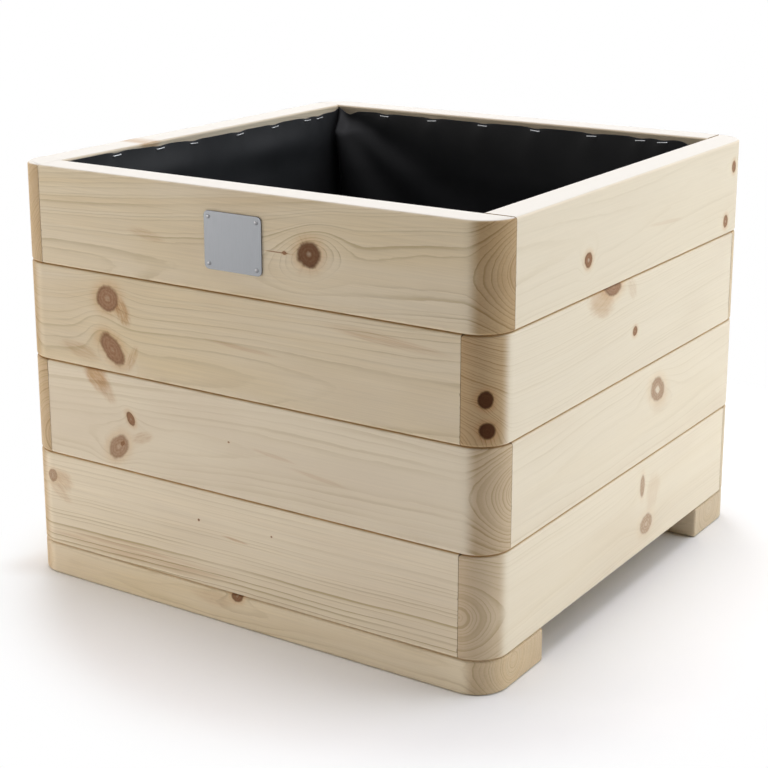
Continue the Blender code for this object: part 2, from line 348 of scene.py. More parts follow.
def growth_ring_group():
    """Late wood, fibre and tone in a board, from the distance to a pith that wanders along it."""
    inputs = (
        ("Place", "Vector"), ("Pith", "Vector"), ("Lean", "Vector"),
        ("Ring width", "Float"), ("Seed", "Float"), ("Push", "Float"),
    )
    outputs = (
        ("Late wood", "Float"), ("Slope", "Float"), ("Fade", "Float"),
        ("Fibre", "Float"), ("Tone", "Float"), ("Patch", "Color"),
    )
    tree, start, end = new_group("growth_rings", inputs, outputs)
    place = start["Place"]
    seed = start["Seed"]
    along = parts_of(tree, place)["X"]
    drift = texture(tree, place, (3.0, 6.0, 6.0), seed, 1.0, output="Color")
    drift = vector_maths(tree, "SUBTRACT", drift, (0.5, 0.5, 0.5))
    drift = vector_maths(tree, "MULTIPLY", drift, pith_drift)
    leaning = node(tree, "ShaderNodeVectorMath", operation="SCALE")
    feed(tree, leaning.inputs[0], start["Lean"])
    feed(tree, leaning.inputs["Scale"], along)
    centre = vector_maths(tree, "ADD", start["Pith"], leaning.outputs[0])
    centre = vector_maths(tree, "ADD", centre, drift)
    spoke = vector_maths(tree, "SUBTRACT", place, centre)
    spoke = vector_maths(tree, "MULTIPLY", spoke, (0.0, 1.0, 1.0))
    radius = vector_maths(tree, "LENGTH", spoke)
    across = parts_of(tree, vector_maths(tree, "NORMALIZE", spoke))["Z"]
    feed(tree, end["Slope"], maths(tree, "ABSOLUTE", across))
    wave = swing(tree, place, (22.0, 90.0, 90.0), seed, 2.0)
    radius = maths(tree, "MULTIPLY_ADD", wave, ring_wave, radius)
    tremble = swing(tree, place, (80.0, 330.0, 330.0), seed, 2.0, 0.6)
    radius = maths(tree, "MULTIPLY_ADD", tremble, ring_tremble, radius)
    radius = maths(tree, "ADD", radius, start["Push"])
    count = maths(tree, "DIVIDE", radius, start["Ring width"])
    uneven = line_noise(tree, maths(tree, "MULTIPLY_ADD", count, 0.6, seed))
    count = maths(tree, "MULTIPLY_ADD", uneven, year_spread, count)
    season = maths(tree, "FRACT", count)
    year = maths(tree, "ADD", maths(tree, "FLOOR", count), seed)
    strength = node(tree, "ShaderNodeTexWhiteNoise", {"W": year}, noise_dimensions="1D").outputs["Value"]
    strength = ramp(tree, strength, 0.0, 1.0, 0.45, 1.0)
    faded = ramp(tree, texture(tree, place, (6.0, 42.0, 42.0), seed, 2.0), 0.36, 0.62, 0.35, 1.0)
    feed(tree, end["Fade"], faded)
    summer = ramp(tree, season, 0.15, 0.80, 0.0, 0.22)
    autumn = ramp(tree, season, 0.64, 0.90, 0.0, 0.78)
    late = maths(tree, "ADD", summer, autumn)
    late = times(tree, late, ramp(tree, season, 0.94, 1.0, 1.0, 0.0))
    feed(tree, end["Late wood"], times(tree, late, strength))
    feed(tree, end["Fibre"], texture(tree, place, (9.0, 620.0, 620.0), seed, 4.0, 0.65))
    band = line_noise(tree, maths(tree, "MULTIPLY_ADD", count, 0.45, seed))
    cloud = texture(tree, place, (2.5, 38.0, 38.0), seed, 2.0)
    feed(tree, end["Tone"], times(tree, maths(tree, "ADD", band, cloud), 0.5))
    feed(tree, end["Patch"], texture(tree, place, (5.0, 16.0, 16.0), seed, 2.0, output="Color"))
    return tree


def on_face(tree, start):
    """Where a point lies on a knot or stain, in its own half-sizes, after its slant and its turn."""
    offset = vector_maths(tree, "SUBTRACT", start["Place"], start["Centre"])
    parts = parts_of(tree, offset)
    slant = times(tree, parts["Y"], start["Slant"])
    along = maths(tree, "SUBTRACT", parts["X"], slant)
    flat = node(tree, "ShaderNodeCombineXYZ", {"X": along, "Z": parts["Z"]}).outputs[0]
    inputs = {"Vector": flat, "Angle": start["Turn"]}
    turned = node(tree, "ShaderNodeVectorRotate", inputs, rotation_type="Y_AXIS").outputs[0]
    return vector_maths(tree, "DIVIDE", turned, start["Size"])


spot_inputs = (
    ("Place", "Vector"), ("Centre", "Vector"), ("Size", "Vector"),
    ("Turn", "Float"), ("Slant", "Float"), ("Seed", "Float"),
)


def knot_push_group():
    """How far a knot pushes the rings aside, from 0 to 1, further along the board than across it."""
    tree, start, end = new_group("knot_push", spot_inputs, (("Push", "Float"),))
    scaled = on_face(tree, start)
    spread = vector_maths(tree, "MULTIPLY", scaled, (0.42, 1.0, 0.60))
    spread = vector_maths(tree, "DOT_PRODUCT", spread, spread)
    feed(tree, end["Push"], maths(tree, "EXPONENT", times(tree, spread, -1.0)))
    return tree


def knot_group():
    """Paint one knot: a frayed branch with faint rings, a darker rim, a paler heart and a warm halo."""
    inputs = (*spot_inputs, ("Colour", "Color"), ("Tone", "Float"), ("Heart", "Float"))
    tree, start, end = new_group("knot", inputs, (("Colour", "Color"),))
    place = start["Place"]
    seed = start["Seed"]
    scaled = on_face(tree, start)
    reach = vector_maths(tree, "LENGTH", scaled)
    compass = vector_maths(tree, "NORMALIZE", scaled)
    wobble = swing(tree, place, (60.0, 20.0, 60.0), seed, 5.0, 0.6)
    rays = swing(tree, compass, (2.4, 2.4, 2.4), seed, 4.0, 0.62)
    edge = maths(tree, "MULTIPLY_ADD", wobble, 0.55, reach)
    frayed = times(tree, rays, ramp(tree, reach, 0.45, 1.1, 0.0, -0.16))
    edge = maths(tree, "ADD", edge, frayed)
    grain = texture(tree, place, (420.0, 60.0, 420.0), seed, 3.0, 0.6)
    halo = ramp(tree, edge, 0.85, 2.2, 1.0, 0.0)
    halo = times(tree, times(tree, halo, halo), ramp(tree, start["Tone"], 0.0, 0.4, 0.3, 1.0))
    colour = shade(tree, halo, start["Colour"], halo_shade)
    whiskers = times(tree, ramp(tree, rays, 0.03, 0.16), ramp(tree, reach, 0.8, 2.1, 1.0, 0.0))
    whiskers = times(tree, whiskers, maths(tree, "MULTIPLY_ADD", start["Tone"], 0.25, 0.08))
    colour = shade(tree, whiskers, colour, strand_shade)
    wood = blend(tree, ramp(tree, start["Tone"], 0.0, 0.5), pale_knot, brown_knot)
    wood = blend(tree, ramp(tree, start["Tone"], 0.5, 1.0), wood, dark_knot)
    rings = maths(tree, "SINE", times(tree, edge, knot_ring_count))
    wood = shade(tree, ramp(tree, rings, -1.0, 1.0, 0.0, 0.35), wood, strand_shade)
    wood = shade(tree, ramp(tree, grain, 0.35, 0.65, 0.5, 0.0), wood, strand_shade)
    heart_edge = maths(tree, "MULTIPLY_ADD", start["Heart"], 0.6, 0.2)
    heart = ramp(tree, maths(tree, "DIVIDE", edge, heart_edge), 0.3, 1.0, 1.0, 0.0)
    heart_strength = maths(tree, "MINIMUM", times(tree, start["Heart"], 2.5), 1.0)
    heart = times(tree, heart, heart_strength)
    heart = times(tree, heart, ramp(tree, grain, 0.30, 0.62, 0.6, 1.0))
    wood = blend(tree, heart, wood, start["Colour"])
    colour = blend(tree, ramp(tree, edge, 0.74, 1.10, 1.0, 0.0), colour, wood)
    rim = times(tree, ramp(tree, edge, 0.62, 0.86), ramp(tree, edge, 0.88, 1.10, 1.0, 0.0))
    rim = times(tree, rim, ramp(tree, wobble, -0.2, 0.15, 0.9, 0.3))
    clear = maths(tree, "MAXIMUM", times(tree, start["Tone"], 2.0), start["Heart"])
    rim = times(tree, rim, ramp(tree, clear, 0.0, 1.0, 0.15, 1.0))
    feed(tree, end["Colour"], shade(tree, rim, colour, rim_shade))
    return tree


def stain_group():
    """Paint one resin stain: a soft warm patch that breaks up into strands along its length."""
    inputs = (*spot_inputs, ("Colour", "Color"), ("Strength", "Float"), ("Strands", "Float"))
    tree, start, end = new_group("resin_stain", inputs, (("Colour", "Color"),))
    seed = start["Seed"]
    scaled = on_face(tree, start)
    wobble = swing(tree, scaled, (1.6, 1.0, 2.2), seed, 3.0, 0.6)
    reach = maths(tree, "MULTIPLY_ADD", wobble, 0.8, vector_maths(tree, "LENGTH", scaled))
    mask = ramp(tree, reach, 0.45, 1.15, 1.0, 0.0)
    strands = ramp(tree, texture(tree, scaled, (1.0, 1.0, 4.5), seed, 3.0, 0.65), 0.42, 0.62)
    thinned = maths(tree, "SUBTRACT", 1.0, times(tree, start["Strands"], strands))
    factor = times(tree, times(tree, mask, thinned), start["Strength"])
    feed(tree, end["Colour"], shade(tree, factor, start["Colour"], stain_shade))
    return tree


ring_tree = growth_ring_group()
push_tree = knot_push_group()
knot_tree = knot_group()
stain_tree = stain_group()


def spot_values(place, spot, slant, seed):
    """Where a knot or stain sits on its board, as its group's inputs."""
    return {
        "Place": place,
        "Centre": (spot.along * mm, 0.0, spot.height * mm),
        "Size": (spot.length * mm, 1.0, spot.width * mm),
        "Turn": math.radians(spot.turn),
        "Slant": slant,
        "Seed": seed,
    }


def knot_pushes(tree, place, knots, seed):
    """The push of all a board's knots on its rings, in metres."""
    push = 0.0
    for number, knot in enumerate(knots):
        reach = group_node(tree, push_tree, spot_values(place, knot, knot.slant, seed + number))["Push"]
        push = maths(tree, "MULTIPLY_ADD", reach, -knot.bulge * mm, push)
    return push


def paint_spots(tree, place, grain, seed, colour):
    """Lay a board's stains and then its knots over its colour."""
    for number, stain in enumerate(grain.stains):
        values = spot_values(place, stain, 0.0, seed + number)
        values.update(Colour=colour, Strength=stain.strength, Strands=stain.strands)
        colour = group_node(tree, stain_tree, values)["Colour"]
    for number, knot in enumerate(grain.knots):
        values = spot_values(place, knot, knot.slant, seed + number)
        values.update(Colour=colour, Tone=knot.tone, Heart=knot.heart)
        colour = group_node(tree, knot_tree, values)["Colour"]
    return colour


def wood_material(name, grain, side, face, mid_height, seed, butt=None, rim=False):
    """Planed spruce with a board's own grain. Its outer face lies at face, on one side of the box."""
    material, tree, shader = new_material(name, early_wood, 0.6)
    coordinates = node(tree, "ShaderNodeTexCoord").outputs
    place = node(tree, "ShaderNodeMapping", {
        "Vector": coordinates["Object"],
        "Rotation": (0.0, 0.0, -side * quarter_turn),
        "Location": (0.0, face, -mid_height),
    }).outputs["Vector"]
    rings = group_node(tree, ring_tree, {
        "Place": place,
        "Pith": (0.0, grain.pith[0] * mm, grain.pith[1] * mm),
        "Lean": (0.0, *grain.lean),
        "Ring width": grain.ring * mm,
        "Seed": seed,
        "Push": knot_pushes(tree, place, grain.knots, seed),
    })
    normal = parts_of(tree, coordinates["Normal"])
    facing = maths(tree, "ABSOLUTE", normal["X" if side % 2 == 0 else "Y"])
    end_grain = ramp(tree, facing, 0.12, 0.48)
    height = parts_of(tree, place)["Z"]
    on_faces = ramp(tree, height, -board_half, board_half, *grain.contrast)
    on_faces = times(tree, on_faces, ramp(tree, rings["Slope"], 0.02, 0.40, 0.25, 0.70))
    on_faces = times(tree, on_faces, rings["Fade"])
    shown = node(tree, "ShaderNodeMix", {
        "Factor": end_grain, "A": on_faces, "B": end_ring_strength * grain.ends,
    }).outputs["Result"]
    late = node(tree, "ShaderNodeMath", {
        0: rings["Late wood"], 1: shown,
    }, operation="MULTIPLY", use_clamp=True).outputs[0]
    tone = ramp(tree, rings["Tone"], 0.35, 0.72, 0.3 * grain.warmth, grain.warmth)
    colour = blend(tree, tone, early_wood, honey_wood)
    patch = node(tree, "ShaderNodeSeparateColor", {"Color": rings["Patch"]}).outputs
    colour = shade(tree, ramp(tree, patch["Red"], 0.42, 0.68, 0.0, grain.warmth), colour, yellow_shade)
    colour = shade(tree, ramp(tree, patch["Green"], 0.45, 0.70), colour, grey_shade)
    colour = blend(tree, late, colour, late_wood)
    streaks = min(sum(grain.contrast) / 2, 1.0)
    # Painted light: the paleness is higher on the lower courses, brightening the boards near the ground
    darkest = grain.pale - fibre_dip * streaks
    palest = grain.pale + fibre_lift * streaks
    fibre = ramp(tree, rings["Fibre"], 0.2, 0.8, darkest, palest)
    colour = shade(tree, 1.0, colour, node(tree, "ShaderNodeCombineColor", {
        "Red": fibre, "Green": fibre, "Blue": fibre,
    }).outputs[0])
    colour = shade(tree, times(tree, end_grain, grain.ends), colour, end_shade)
    if butt is not None:
        # Painted shade: a thin ragged dark line along the butt joint
        colour = shade(tree, ragged_joint_shade(tree, place, butt, seed), colour, joint_painted_shade)
        # Painted shade: the arris faces that turn up or down, deep in the groove between courses, are
        # darkened
        level = ramp(tree, maths(tree, "ABSOLUTE", normal["Z"]), 0.60, 0.98)
        colour = shade(tree, level, colour, groove_painted_shade)
    if rim:
        # Painted highlight: the rim's upward faces are blended towards near-white
        colour = blend(tree, ramp(tree, normal["Z"], 0.55, 0.95), colour, rim_painted_highlight)
    colour = paint_spots(tree, place, grain, seed, colour)
    shader.inputs["Specular IOR Level"].default_value = wood_gloss
    feed(tree, shader.inputs["Base Color"], colour)
    feed(tree, shader.inputs["Roughness"], ramp(tree, rings["Fibre"], 0.2, 0.8, 0.66, 0.52))
    relief = maths(tree, "MULTIPLY_ADD", rings["Fibre"], 0.5, late)
    add_bump(tree, shader, relief, 0.35, fibre_relief)
    return material


def ragged_joint_shade(tree, place, butt, seed):
    """A thin uneven line at a board's butt end, where painted shade darkens the joint between the boards.
    """
    parts = parts_of(tree, place)
    away = maths(tree, "ABSOLUTE", maths(tree, "SUBTRACT", parts["X"], butt))
    unevenness = texture(tree, place, (60.0, 60.0, 170.0), seed, 3.0, 0.7)
    shade_reach = ramp(tree, unevenness, 0.50, 0.74, joint_shade_least, joint_shade_most)
    share = maths(tree, "DIVIDE", away, shade_reach)
    return ramp(tree, share, 0.5, 1.0, 0.5, 0.0)


def new_material(name, colour, roughness, metallic=0.0):
    """A material with its fixed values set, and the tree and shader that its detail goes into."""
    material = bpy.data.materials.new(name)
    material.use_nodes = True
    shader = material.node_tree.nodes["Principled BSDF"]
    shader.inputs["Base Color"].default_value = (*colour, 1.0)
    shader.inputs["Roughness"].default_value = roughness
    shader.inputs["Metallic"].default_value = metallic
    return material, material.node_tree, shader


def new_object(name, data):
    """Put a mesh, a lamp or a camera in the scene."""
    made = bpy.data.objects.new(name, data)
    bpy.context.scene.collection.objects.link(made)
    return made


def add_piece(name, solid, material, smooth=smooth_angle):
    """Turn a bmesh into a piece with soft rounded edges and level flat faces."""
    mesh = bpy.data.meshes.new(name)
    solid.to_mesh(mesh)
    solid.free()
    mesh.materials.append(material)
    piece = new_object(name, mesh)
    mesh.shade_smooth()
    mesh.set_sharp_from_angle(angle=smooth)
    return piece


def settle(piece):
    """Turn a piece and its modifiers into a plain mesh."""
    graph = bpy.context.evaluated_depsgraph_get()
    mesh = bpy.data.meshes.new_from_object(piece.evaluated_get(graph))
    piece.modifiers.clear()
    piece.data = mesh


def even_normals(piece):
    """Keep the broad faces flat in the shading and leave the turn to the rounded edges."""
    weighted = piece.modifiers.new("even_normals", "WEIGHTED_NORMAL")
    weighted.mode = "FACE_AREA"
    weighted.keep_sharp = True
    settle(piece)


def prism(outline, base, height):
    """A plan outline extruded upwards."""
    solid = bmesh.new()
    floor_face = solid.faces.new([solid.verts.new((x, y, base)) for x, y in outline])
    raised = bmesh.ops.extrude_face_region(solid, geom=[floor_face])
    top = [item for item in raised["geom"] if isinstance(item, bmesh.types.BMVert)]
    bmesh.ops.translate(solid, verts=top, vec=(0.0, 0.0, height))
    bmesh.ops.recalc_face_normals(solid, faces=solid.faces)
    return solid


def round_over(solid, edges, radius, steps):
    bmesh.ops.bevel(
        solid, geom=edges, offset=radius, offset_type="OFFSET", segments=steps, profile=0.5, affect="EDGES"
    )


def level_edges(solid):
    return [edge for edge in solid.edges if math.isclose(edge.verts[0].co.z, edge.verts[1].co.z)]


def board_outline(butt, reach, face):
    """Plan of a board at the front: square at its butt end, rounded where it runs through the corner."""
    sign = 1.0 if reach > butt else -1.0
    outline = [(butt, face)]
    for step in range(corner_steps + 1):
        angle = quarter_turn * step / corner_steps
        x = reach - sign * board_thickness * (1.0 - math.sin(angle))
        y = face + board_thickness * (1.0 - math.cos(angle))
        outline.append((x, y))
    outline.append((butt, face + board_thickness))
    return outline


def turned_box(name, side):
    """A node's box, turned so that its side of the planter is the front."""
    turn = Matrix.Rotation(-side * quarter_turn, 3, "Z")
    corners = [turn @ Vector(corner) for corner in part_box(name)]
    low = Vector([min(values) for values in zip(*corners)])
    high = Vector([max(values) for values in zip(*corners)])
    return low, high


def turn_to_side(solid, side):
    """Bring a piece made at the front to its own side of the box."""
    bmesh.ops.rotate(solid, verts=solid.verts, matrix=Matrix.Rotation(side * quarter_turn, 3, "Z"))


def random_grain(seed):
    """The grain of a board that the photo doesn't show."""
    draw = random.Random(seed)
    knots = []
    for spot in range(draw.randint(2, 3)):
        knots.append(Knot(
            along=-170 + 140 * spot + draw.uniform(-40, 40),
            height=draw.uniform(-28, 28),
            length=draw.uniform(8, 14),
            width=draw.uniform(6, 11),
            tone=draw.uniform(0.25, 0.7),
            turn=draw.uniform(-40, 40),
            slant=draw.uniform(-0.2, 0.2),
            bulge=draw.uniform(5, 9),
            heart=draw.uniform(0.02, 0.12),
        ))
    pith = (draw.uniform(25, 60), draw.uniform(-45, 45))
    lean = (0.0, draw.uniform(-0.02, 0.02))
    return Grain(pith, draw.uniform(3.4, 5.2), lean, (0.8, 0.8), 0.4, 0.3, tuple(knots))


def finish_wood(name, solid, seed, side, face, mid_height, butt=None, rim=False):
    """Give a wooden piece its grain and put it in its solid's place."""
    grain = grains.get(name) or random_grain(int(seed))
    material = wood_material(f"spruce_{name}", grain, side, face, mid_height, seed, butt, rim)
    piece = add_piece(f"planed_{name}", solid, material)
    even_normals(piece)
    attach(piece, "root")
    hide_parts(name)


def make_board(side, course):
    """One wall board with its own grain."""
    name = f"{side_names[side]}_board_{course}"
    low, high = turned_box(name, side)
    through_right = high.x > box_half - mm
    butt, reach = (low.x, high.x) if through_right else (high.x, low.x)
    outline = board_outline(butt, reach, low.y)
    if not through_right:
        outline.reverse()
    solid = prism(outline, low.z, high.z - low.z)
    at_butt = [vert for vert in solid.verts if math.isclose(vert.co.x, butt, abs_tol=mm)]
    long_edges = [edge for edge in level_edges(solid) if not all(vert in at_butt for vert in edge.verts)]
    round_over(solid, long_edges, board_arris, arris_steps)
    butt_edges = [
        edge for edge in solid.edges
        if all(math.isclose(vert.co.x, butt, abs_tol=same_place) for vert in edge.verts)
    ]
    round_over(solid, butt_edges, butt_arris, butt_steps)
    turn_to_side(solid, side)
    middle = (low.z + high.z) / 2
    top = course == course_count
    finish_wood(name, solid, 10.0 * side + course, side, -low.y, middle, butt, top)


def make_runner(name, side):
    """A board laid flat under the box, rounded at its two outer corners."""
    low, high = turned_box(name, side)
    radius = board_thickness
    outline = []
    for step in range(corner_steps + 1):
        angle = quarter_turn * step / corner_steps
        x = low.x + radius * (1.0 - math.cos(angle))
        y = low.y + radius * (1.0 - math.sin(angle))
        outline.append((x, y))
    outline += [(-x, y) for x, y in reversed(outline)]
    outline += [(high.x, high.y), (low.x, high.y)]
    solid = prism(outline, low.z, high.z - low.z)
    edges = level_edges(solid)
    for edge in solid.edges:
        upright = edge not in edges
        if upright and math.isclose(edge.verts[0].co.y, high.y, abs_tol=same_place):
            edges.append(edge)
    round_over(solid, edges, board_arris, arris_steps)
    turn_to_side(solid, side)
    finish_wood(name, solid, 50.0 + side, side, -low.y, (low.z + high.z) / 2)


def make_slat(number):
    """A floor slat from front to back."""
    name = f"floor_slat_{number}"
    low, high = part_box(name)
    outline = [(low[0], low[1]), (high[0], low[1]), (high[0], high[1]), (low[0], high[1])]
    solid = prism(outline, low[2], high[2] - low[2])
    round_over(solid, list(level_edges(solid)), slat_arris, arris_steps)
    finish_wood(name, solid, 60.0 + number, 1, high[0], (low[2] + high[2]) / 2)


def dowel_material():
    """Pale beech with short flecks, for the blind dowels."""
    material, tree, shader = new_material("beech_dowel", pale_beech, 0.6)
    fleck = texture(tree, on_piece(tree), (900.0, 900.0, 90.0), 3.0, 3.0)
    feed(tree, shader.inputs["Base Color"], blend(tree, fleck, pale_beech, dark_beech))
    return material


# Film liner
film_thickness = 0.5 * mm
film_clearance = 0.9 * mm
film_edge_most = 5.4 * mm
film_edge_lifts = {"front": 1.6 * mm, "right": 1.6 * mm, "back": 2.6 * mm, "left": 1.0 * mm}
film_edge_wave = 0.6 * mm
film_notch = 1.3 * mm
film_notch_half = 8.0 * mm
film_crease = 0.3 * mm
dark_film = (0.020, 0.021, 0.023)
scuffed_film = (0.038, 0.039, 0.041)
film_columns = 104
film_rows = 72
film_foot_rows = 6
film_foot_radius = 14.0 * mm
film_floor_rings = 14
row_crowding = 1.5
# The left wall's edge climbs from here on, over this length
left_climb_from = 10.0 * mm
left_climb_length = 150.0 * mm
left_climb = 4.6 * mm
# In the corners the edge bunches up, and beside the gathers it dips
bunch = 2.5 * mm
bunch_half = 5.0 * mm
dip = 4.5 * mm
dip_from_corner = 15.0 * mm
dip_half = 8.0 * mm
# The film's waves grow down to this drop and die out this near to a corner
wave_drop = 60.0 * mm
wave_hold = 20.0 * mm
broad_wave = 2.6 * mm
small_wave = 0.7 * mm
# The soft swag in the side walls
swag = 4.0 * mm
swag_drop = 26.0 * mm
swag_drop_half = 15.0 * mm
swag_from_corner = 125.0 * mm
swag_half = 75.0 * mm
# The pucker below each staple
pucker = 2.0 * mm
pucker_half = 6.0 * mm
pucker_spread = 0.35
pucker_start = 5.0 * mm
pucker_fade = 28.0 * mm
floor_ripple = 1.2 * mm
# Staples along each wall from its left end as seen from outside, in millimetres
staple_rows = {
    "front": (-172, -140, -84, -25, 38, 92, 150, 178),
    "right": (-176, -150, -93, -31, 28, 88, 146, 170),
    "back": (-173, -149, -95, -30, 33, 96, 157),
    "left": (-181, -158, -99, -39, 35, 86, 148),
}
# Gathers at each corner of the front and back walls: the slope away from the corner, the height, and the
# spread towards the corner and away from it
gathers = ((0.30, 16.0 * mm, 0.13, 0.45), (1.25, 4.0 * mm, 0.30, 0.40))
gathered_walls = ("front", "back")
gather_neck = 6.0 * mm
gather_rise = 22.0 * mm


def hump(value, middle, half):
    """1 at the middle, falling smoothly to either side of it."""
    away = (value - middle) / half
    return math.exp(-away * away)


def gather_height(from_corner, drop, height):
    """How far the gathered film stands off the wall near a corner."""
    grip = min(drop / gather_rise, 1.0) * (1.0 - (drop / height) ** 2)
    grip *= min(from_corner / gather_neck, 1.0)
    total = 0.0
    for slope, crest, near_spread, far_spread in gathers:
        middle = slope * drop
        spread = far_spread if from_corner > middle else near_spread
        total += crest * grip * hump(from_corner, middle, gather_neck + spread * drop)
    return total


def film_edge(side, along):
    """Height of the film's cut edge, which dips to each staple and bunches up in the corners."""
    wall = side_names[side]
    edge = liner_high.z + film_edge_lifts[wall]
    edge += film_edge_wave * noise.noise(Vector((along * 30.0, side * 5.0, 0.5)))
    if wall == "left":
        edge += left_climb * min(max((along - left_climb_from) / left_climb_length, 0.0), 1.0)
    for staple in staple_rows[wall]:
        edge -= film_notch * hump(along, staple * mm, film_notch_half)
    from_corner = inner_half - abs(along)
    if wall in gathered_walls:
        edge -= dip * hump(from_corner, dip_from_corner, dip_half)
    edge += bunch * hump(from_corner, 0.0, bunch_half)
    return min(edge, liner_high.z + film_edge_most)


def stand_off(side, along, drop, height):
    """How far the film lies in from the wall."""
    wall = side_names[side]
    from_corner = inner_half - abs(along)
    wave = broad_wave * noise.noise(Vector((along * 9.0, drop * 5.0, side * 7.0))) + broad_wave
    wave += small_wave * noise.noise(Vector((along * 26.0, drop * 14.0, side * 3.0)))
    off = film_clearance + wave * min(drop / wave_drop, 1.0) * min(from_corner / wave_hold, 1.0)
    if wall in gathered_walls:
        off += max(gather_height(from_corner, drop, height), 0.0)
    else:
        level = hump(drop, swag_drop, swag_drop_half)
        off += swag * level * hump(from_corner, swag_from_corner, swag_half)
    fade = math.exp(-drop / pucker_fade) * (1.0 - math.exp(-drop / pucker_start))
    for staple in staple_rows[wall]:
        off += pucker * fade * hump(along, staple * mm, pucker_half + pucker_spread * drop)
    return max(off, film_clearance)


def film_profile():
    """Rows down the film: the share of its straight drop, then the turn of its foot."""
    rows = [((row / film_rows) ** row_crowding, 0.0) for row in range(film_rows + 1)]
    for row in range(1, film_foot_rows + 1):
        rows.append((1.0, quarter_turn * row / film_foot_rows))
    return rows


def film_ring(share, angle):
    """One level of the film, once round the box."""
    ring = []
    for side in range(len(side_names)):
        turn = Matrix.Rotation(side * quarter_turn, 3, "Z")
        for column in range(film_columns):
            along = -inner_half * math.cos(math.pi * column / film_columns)
            edge = film_edge(side, along)
            straight = edge - liner_low.z - film_foot_radius
            drop = share * straight
            height = edge - drop - film_foot_radius * math.sin(angle)
            set_in = film_foot_radius * (1.0 - math.cos(angle))
            off = stand_off(side, along, drop, edge - liner_low.z) + set_in
            squeeze = (inner_half - film_clearance - set_in) / inner_half
            ring.append(turn @ Vector((along * squeeze, off - inner_half, height)))
    return ring


def make_liner(material):
    """An open bag of film, stapled to the top boards and gathered at the corners."""
    solid = bmesh.new()
    rings = [[solid.verts.new(point) for point in film_ring(*row)] for row in film_profile()]
    last = [vert.co.copy() for vert in rings[-1]]
    for step in range(1, film_floor_rings):
        share = 1.0 - step / film_floor_rings
        ring = []
        for point in last:
            x = point.x * share
            y = point.y * share
            ripple = floor_ripple * (1.0 + noise.noise(Vector((x * 14.0, y * 5.0, 9.0))))
            ring.append(solid.verts.new((x, y, point.z + ripple)))
        rings.append(ring)
    for upper, lower in zip(rings, rings[1:]):
        for index in range(len(upper)):
            after = (index + 1) % len(upper)
            solid.faces.new((upper[index], lower[index], lower[after], upper[after]))
    hub = solid.verts.new((0.0, 0.0, last[0].z))
    for index in range(len(rings[-1])):
        after = (index + 1) % len(rings[-1])
        solid.faces.new((rings[-1][index], hub, rings[-1][after]))
    bmesh.ops.recalc_face_normals(solid, faces=solid.faces)
    liner = add_piece("film_liner", solid, material, math.pi)
    wall = liner.modifiers.new("film", "SOLIDIFY")
    wall.thickness = film_thickness
    wall.offset = 0.0
    settle(liner)
    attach(liner, "root")
    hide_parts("liner")
    return liner


def film_material():
    """Satin black film with faint scuffs."""
    material, tree, shader = new_material("black_film", dark_film, 0.45)
    shader.inputs["Specular IOR Level"].default_value = 0.12
    place = on_piece(tree)
    cloud = texture(tree, place, (14.0, 14.0, 14.0), 1.0, 4.0, 0.6)
    feed(tree, shader.inputs["Base Color"], blend(tree, cloud, dark_film, scuffed_film))
    feed(tree, shader.inputs["Roughness"], ramp(tree, cloud, 0.3, 0.7, 0.40, 0.50))
    creases = texture(tree, place, (160.0, 160.0, 160.0), 2.0, 5.0, 0.65)
    add_bump(tree, shader, creases, 0.25, film_crease)
    return material


# Metal
aluminium_colour = (0.235, 0.245, 0.262)
bright_steel_colour = (0.44, 0.45, 0.46)
dull_steel_colour = (0.26, 0.26, 0.27)
rolling_mark = 0.05 * mm
mark_shade = 0.93


def metal_material(name, colour, roughness, stretch):
    """Bare metal with fine rolling marks."""
    material, tree, shader = new_material(name, colour, roughness, 1.0)
    marks = texture(tree, on_piece(tree), stretch, 4.0, 4.0, 0.7)
    marked = tuple(mark_shade * value for value in colour)
    feed(tree, shader.inputs["Base Color"], blend(tree, marks, marked, colour))
    gloss = ramp(tree, marks, 0.25, 0.75, roughness - 0.06, roughness + 0.08)
    feed(tree, shader.inputs["Roughness"], gloss)
    add_bump(tree, shader, marks, 0.12, rolling_mark)
    return material


# Plate
plate_corner = 4.5 * mm
plate_edge = 0.25 * mm
plate_corner_steps = 10
plate_edge_steps = 3
nail_inset = 5.0 * mm
nail_sizes = {"Head": 3.6 * mm, "Dome": 0.8 * mm}


def make_plate(material):
    """A thin bare plate with rounded corners and softened edges."""
    half = Vector((plate_high.x - plate_low.x, plate_high.z - plate_low.z)) / 2
    outline = []
    for number, (sign_x, sign_y) in enumerate(((1, -1), (1, 1), (-1, 1), (-1, -1))):
        for step in range(plate_corner_steps + 1):
            angle = (number - 1 + step / plate_corner_steps) * quarter_turn
            x = sign_x * (half.x - plate_corner) + plate_corner * math.cos(angle)
            y = sign_y * (half.y - plate_corner) + plate_corner * math.sin(angle)
            outline.append((x, y))
    solid = prism(outline, 0.0, plate_high.y - plate_low.y)
    round_over(solid, level_edges(solid), plate_edge, plate_edge_steps)
    bmesh.ops.rotate(solid, verts=solid.verts, matrix=Matrix.Rotation(quarter_turn, 3, "X"))
    middle = (plate_low.z + plate_high.z) / 2
    bmesh.ops.translate(solid, verts=solid.verts, vec=(0.0, plate_high.y, middle))
    plate = add_piece("bare_front_plate", solid, material)
    even_normals(plate)
    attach(plate, "root")
    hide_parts("front_plate")
    return half, middle


def new_shape_tree(name, sizes):
    """An empty geometry tree that takes points, named sizes and a material."""
    inputs = [("Geometry", "Geometry"), *((size, "Float") for size in sizes), ("Material", "Material")]
    return new_group(name, inputs, [("Geometry", "Geometry")], "Geometry")


